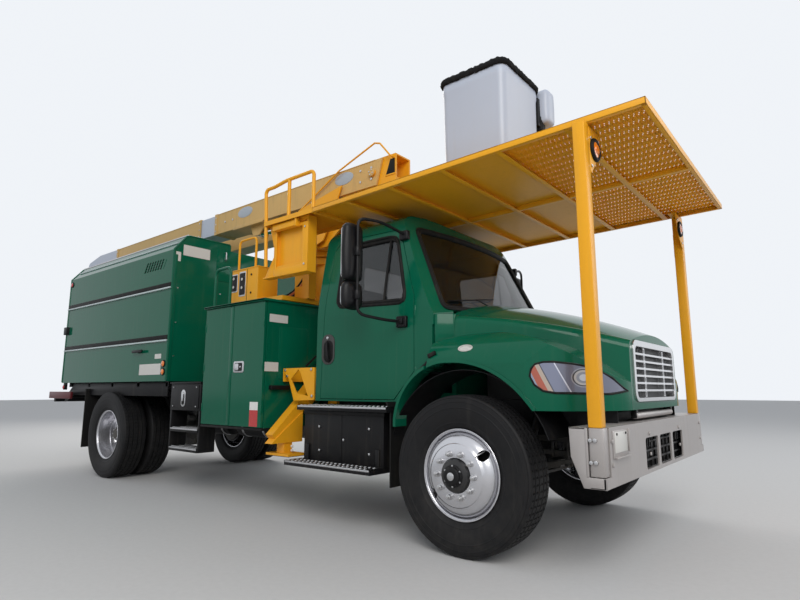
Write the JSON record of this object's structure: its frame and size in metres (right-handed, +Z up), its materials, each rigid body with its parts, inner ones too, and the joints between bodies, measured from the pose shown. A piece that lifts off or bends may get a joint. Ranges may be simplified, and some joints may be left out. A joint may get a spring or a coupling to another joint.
{
  "type": "forestry bucket truck",
  "caption": "Forestry bucket truck: hooded cab, canopy on front posts, chip box, and a folding boom with an open work bucket on a turntable.",
  "frame": {"origin": "on the ground in the middle of the truck's overall length and width", "axes": "+X forward along the truck, +Y to its left, +Z up"},
  "size_m": [9.5708, 2.95, 3.9148],
  "materials": {
    "green_paint": "gloss",
    "yellow_paint": "gloss",
    "boom_paint": "satin",
    "black_steel": "satin",
    "silver_paint": "satin",
    "wheel_steel": "satin",
    "cast_parts": "matte",
    "tyre_rubber": "matte",
    "black_rubber": "matte",
    "black_plastic": "matte",
    "cab_trim": "matte",
    "grille_metal": "satin",
    "tank_metal": "satin",
    "white_shell": "satin",
    "lamp_lens": "gloss",
    "amber_lens": "gloss",
    "window_glass": "gloss",
    "steel_rod": "polished"
  },
  "bodies": {
    "chassis": {"frame_rails": "black_steel", "front_axle": "cast_parts", "rear_axle": "cast_parts", "drive_shaft": "black_steel", "engine": "cast_parts", "radiator": "black_steel", "fuel_tank": "tank_metal", "bumper": "silver_paint", "canopy_posts": "yellow_paint", "canopy_lamps": "amber_lens", "canopy": "yellow_paint", "platform": "yellow_paint", "cab_shell": "green_paint", "cab_glass": "window_glass", "cab_interior": "cab_trim", "cab_steps": "black_steel", "tool_boxes": "green_paint", "step_ladder": "black_steel", "mud_flaps": "black_rubber", "pedestal": "yellow_paint", "grab_rails": "green_paint", "outriggers": "yellow_paint"},
    "hood": {"hood": "green_paint", "grille": "grille_metal", "headlamps": "lamp_lens"},
    "knuckle_left": {"knuckle_left": "cast_parts"},
    "knuckle_right": {"knuckle_right": "cast_parts"},
    "front_wheel_left": {"tyre_front_left": "tyre_rubber", "wheel_front_left": "wheel_steel"},
    "front_wheel_right": {"tyre_front_right": "tyre_rubber", "wheel_front_right": "wheel_steel"},
    "rear_wheel_left": {"tyres_rear_left": "tyre_rubber", "wheels_rear_left": "wheel_steel"},
    "rear_wheel_right": {"tyres_rear_right": "tyre_rubber", "wheels_rear_right": "wheel_steel"},
    "door_left": {"door_left": "green_paint", "door_glass_left": "window_glass", "mirrors_left": "black_plastic"},
    "door_right": {"door_right": "green_paint", "door_glass_right": "window_glass", "mirrors_right": "black_plastic"},
    "bed": {"chip_box": "green_paint", "box_subframe": "black_steel"},
    "tailgate": {"tailgate": "green_paint"},
    "tool_door_left_front": {"tool_door_left_front": "green_paint"},
    "tool_door_left_rear": {"tool_door_left_rear": "green_paint"},
    "tool_door_right_front": {"tool_door_right_front": "green_paint"},
    "tool_door_right_rear": {"tool_door_right_rear": "green_paint"},
    "leg_left": {"outrigger_leg_left": "yellow_paint"},
    "leg_right": {"outrigger_leg_right": "yellow_paint"},
    "turntable": {"turntable": "yellow_paint"},
    "lower_boom": {"lower_boom": "boom_paint", "boom_insert": "white_shell"},
    "upper_boom": {"upper_boom": "boom_paint"},
    "bucket": {"bucket": "white_shell", "bucket_rim": "black_rubber"},
    "cylinder_barrel": {"cylinder_barrel": "black_steel"},
    "cylinder_rod": {"cylinder_rod": "steel_rod"}
  },
  "joints": [
    {"name": "steer_right", "type": "hinge", "parent": "chassis", "child": "knuckle_right", "pos_m": [3.465, -0.88, 0.522], "axis": [0, 0, 1], "range_deg": [-38, 38]},
    {"name": "steer_left", "type": "hinge", "parent": "chassis", "child": "knuckle_left", "pos_m": [3.465, 0.88, 0.522], "axis": [0, 0, 1], "range_deg": [-38, 38]},
    {"name": "front_wheel_left", "type": "hinge", "parent": "knuckle_left", "child": "front_wheel_left", "pos_m": [3.465, 1.058, 0.522], "axis": [0, 1, 0], "continuous": true},
    {"name": "rear_wheel_left", "type": "hinge", "parent": "chassis", "child": "rear_wheel_left", "pos_m": [-1.755, 0.92, 0.522], "axis": [0, 1, 0], "continuous": true},
    {"name": "front_wheel_right", "type": "hinge", "parent": "knuckle_right", "child": "front_wheel_right", "pos_m": [3.465, -1.058, 0.522], "axis": [0, 1, 0], "continuous": true},
    {"name": "rear_wheel_right", "type": "hinge", "parent": "chassis", "child": "rear_wheel_right", "pos_m": [-1.755, -0.92, 0.522], "axis": [0, 1, 0], "continuous": true},
    {"name": "hood_tilt", "type": "hinge", "parent": "chassis", "child": "hood", "pos_m": [4.37, 0, 0.925], "axis": [0, 1, 0], "range_deg": [0, 75]},
    {"name": "door_right", "type": "hinge", "parent": "chassis", "child": "door_right", "pos_m": [2.965, -1.018, 1.5], "axis": [0, 0, 1], "range_deg": [0, 65]},
    {"name": "door_left", "type": "hinge", "parent": "chassis", "child": "door_left", "pos_m": [2.965, 1.018, 1.5], "axis": [0, 0, -1], "range_deg": [0, 65]},
    {"name": "bed_tip", "type": "hinge", "parent": "chassis", "child": "bed", "pos_m": [-3.085, 0, 1.075], "axis": [0, 1, 0], "range_deg": [-40, 0]},
    {"name": "tailgate_swing", "type": "hinge", "parent": "bed", "child": "tailgate", "pos_m": [-3.342, 0, 2.765], "axis": [0, 1, 0], "range_deg": [0, 90]},
    {"name": "tool_door_left_front", "type": "hinge", "parent": "chassis", "child": "tool_door_left_front", "pos_m": [1.372, 1.22, 1.313], "axis": [0, 0, -1], "range_deg": [0, 110]},
    {"name": "tool_door_left_rear", "type": "hinge", "parent": "chassis", "child": "tool_door_left_rear", "pos_m": [0.395, 1.22, 1.313], "axis": [0, 0, 1], "range_deg": [0, 110]},
    {"name": "outrigger_left", "type": "slide", "parent": "chassis", "child": "leg_left", "axis": [0, 0.7279, -0.6857], "range_m": [0, 0.65]},
    {"name": "tool_door_right_front", "type": "hinge", "parent": "chassis", "child": "tool_door_right_front", "pos_m": [1.372, -1.22, 1.313], "axis": [0, 0, 1], "range_deg": [0, 110]},
    {"name": "tool_door_right_rear", "type": "hinge", "parent": "chassis", "child": "tool_door_right_rear", "pos_m": [0.395, -1.22, 1.313], "axis": [0, 0, -1], "range_deg": [0, 110]},
    {"name": "outrigger_right", "type": "slide", "parent": "chassis", "child": "leg_right", "axis": [0, -0.7279, -0.6857], "range_m": [0, 0.65]},
    {"name": "turntable_turn", "type": "hinge", "parent": "chassis", "child": "turntable", "pos_m": [0.915, 0, 2.525], "axis": [0, 0, 1], "continuous": true},
    {"name": "boom_lift", "type": "hinge", "parent": "turntable", "child": "lower_boom", "pos_m": [2.015, -0.31, 3.225], "axis": [0, 1, 0], "range_deg": [0, 110]},
    {"name": "elbow", "type": "hinge", "parent": "lower_boom", "child": "upper_boom", "pos_m": [-4.135, 0.38, 3.225], "axis": [0, 1, 0], "range_deg": [-177, 0]},
    {"name": "bucket_level", "type": "hinge", "parent": "upper_boom", "child": "bucket", "pos_m": [3.18, 0.3, 3.225], "axis": [0, 1, 0], "range_deg": [0, 67]},
    {"name": "cylinder_swing", "type": "hinge", "parent": "turntable", "child": "cylinder_barrel", "pos_m": [1.565, -0.31, 2.9], "axis": [0, 1, 0], "range_deg": [0, 109.33]},
    {"name": "cylinder_stroke", "type": "slide", "parent": "cylinder_barrel", "child": "cylinder_rod", "axis": [-0.9979, 0, 0.0644], "range_m": [0, 0.9176]}
  ],
  "couplings": [
    {"joint": "steer_left", "follows": "steer_right", "ratio": 1},
    {"joint": "elbow", "follows": "boom_lift", "ratio": -1.6},
    {"joint": "bucket_level", "follows": "boom_lift", "ratio": 0.6},
    {"joint": "cylinder_swing", "follows": "boom_lift", "ratio": 0.9848},
    {"joint": "cylinder_stroke", "follows": "boom_lift", "m_per_rad": 0.47275},
    {"joint": "bed_tip", "follows": "boom_lift", "ratio": -0.36}
  ]
}
